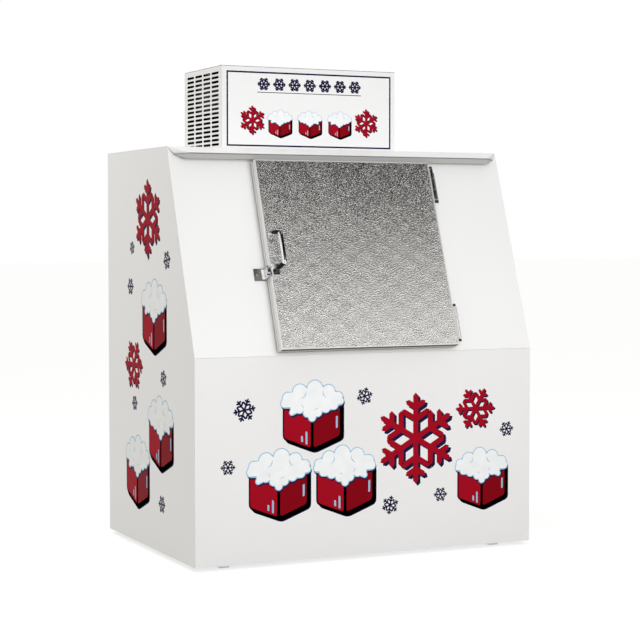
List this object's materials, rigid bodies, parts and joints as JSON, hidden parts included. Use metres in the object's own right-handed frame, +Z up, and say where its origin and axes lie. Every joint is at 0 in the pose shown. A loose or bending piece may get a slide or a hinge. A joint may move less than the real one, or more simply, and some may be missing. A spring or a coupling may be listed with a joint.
{
  "type": "bagged ice freezer",
  "caption": "Insulated cabinet for bagged ice with a leaning front, a hinged door with a pull latch, and a condensing unit in a slotted housing on its roof.",
  "frame": {"origin": "middle of the part's outline on the floor, under the bounding box", "axes": "+Z up, -Y towards the front with the door, +X to the right as seen from the front"},
  "size_m": [1.295, 0.9312, 1.717],
  "materials": {
    "white_paint": "smooth baked enamel, semi-gloss",
    "liner_white": "white coated liner sheet",
    "galvanised": "galvanised sheet",
    "embossed_aluminium": "stucco-embossed mill finish",
    "bright_rim": "smooth bright anodised",
    "chrome": "polished chrome plate",
    "foam": "foamed in place",
    "grey_plastic": "moulded",
    "rubber": "soft matt",
    "black_enamel": "black enamel, satin",
    "fins": "plain aluminium",
    "copper": "drawn copper tube"
  },
  "bodies": {
    "cabinet": {"skid_left": "galvanised", "skid_right": "galvanised", "bottom_pan": "galvanised", "front_panel": "white_paint", "slope_panel": "white_paint", "side_panel_left": "white_paint", "side_panel_right": "white_paint", "back_panel": "white_paint", "top_panel": "white_paint", "rain_lip": "white_paint", "insulation": "foam", "liner_left": "liner_white", "liner_right": "liner_white", "liner_floor": "liner_white", "liner_front": "liner_white", "liner_back": "liner_white", "liner_top": "liner_white", "liner_slope": "liner_white", "opening_breaker": "grey_plastic", "floor_rack": "galvanised", "floor_drain": "grey_plastic", "evaporator_case": "galvanised", "evaporator_coil": "fins", "evaporator_guard": "chrome", "evaporator_motor": "black_enamel", "housing_side_left": "white_paint", "housing_side_right": "white_paint", "housing_front": "white_paint", "housing_lid": "white_paint", "housing_back": "white_paint", "housing_deck": "galvanised", "compressor": "black_enamel", "condenser_coil": "fins", "fan_shroud": "galvanised", "condenser_motor": "black_enamel", "control_box": "grey_plastic", "cord_gland": "rubber", "suction_line": "copper", "liquid_line": "copper", "discharge_line": "copper", "hinge_cabinet_leaf_top": "chrome", "hinge_cabinet_leaf_bottom": "chrome", "strike_plate": "chrome", "strike_keeper": "chrome"},
    "door": {"door_rim": "bright_rim", "door_face": "embossed_aluminium", "door_break": "grey_plastic", "door_inner_pan": "liner_white", "door_core": "foam", "door_gasket": "rubber", "hinge_door_leaf_top": "chrome", "hinge_door_leaf_bottom": "chrome", "handle_post": "chrome", "latch_body": "chrome"},
    "pull_handle": {"pull_handle": "chrome"},
    "latch_bolt": {"latch_bolt": "chrome"},
    "evaporator_fan": {"evaporator_fan": "fins"},
    "condenser_fan": {"condenser_fan": "fins"},
    "thermostat_knob": {"thermostat_knob": "rubber"}
  },
  "joints": [
    {"name": "door_hinge", "type": "hinge", "parent": "cabinet", "child": "door", "pos_m": [0.3435, -0.46023, 0.72624], "axis": [0, 0.3399, 0.9405], "range_deg": [0, 115]},
    {"name": "handle_pull", "type": "hinge", "parent": "door", "child": "pull_handle", "pos_m": [-0.333, -0.33922, 1.12486], "axis": [-1, 0, 0], "range_deg": [0, 9], "stiffness_Nm_per_rad": 3, "springref_deg": -11.46},
    {"name": "latch_slide", "type": "slide", "parent": "door", "child": "latch_bolt", "axis": [1, 0, 0], "range_m": [0, 0.01]},
    {"name": "evaporator_fan_spin", "type": "hinge", "parent": "cabinet", "child": "evaporator_fan", "pos_m": [0, 0.18433, 1.2647], "axis": [0, -1, 0], "continuous": true},
    {"name": "condenser_fan_spin", "type": "hinge", "parent": "cabinet", "child": "condenser_fan", "pos_m": [0.0996, 0.10363, 1.5508], "axis": [1, 0, 0], "continuous": true},
    {"name": "thermostat_turn", "type": "hinge", "parent": "cabinet", "child": "thermostat_knob", "pos_m": [-0.2984, 0.28393, 1.6255], "axis": [0, 1, 0], "range_deg": [-135, 135]}
  ],
  "couplings": [
    {"joint": "latch_slide", "follows": "handle_pull", "m_per_rad": 0.0636}
  ]
}
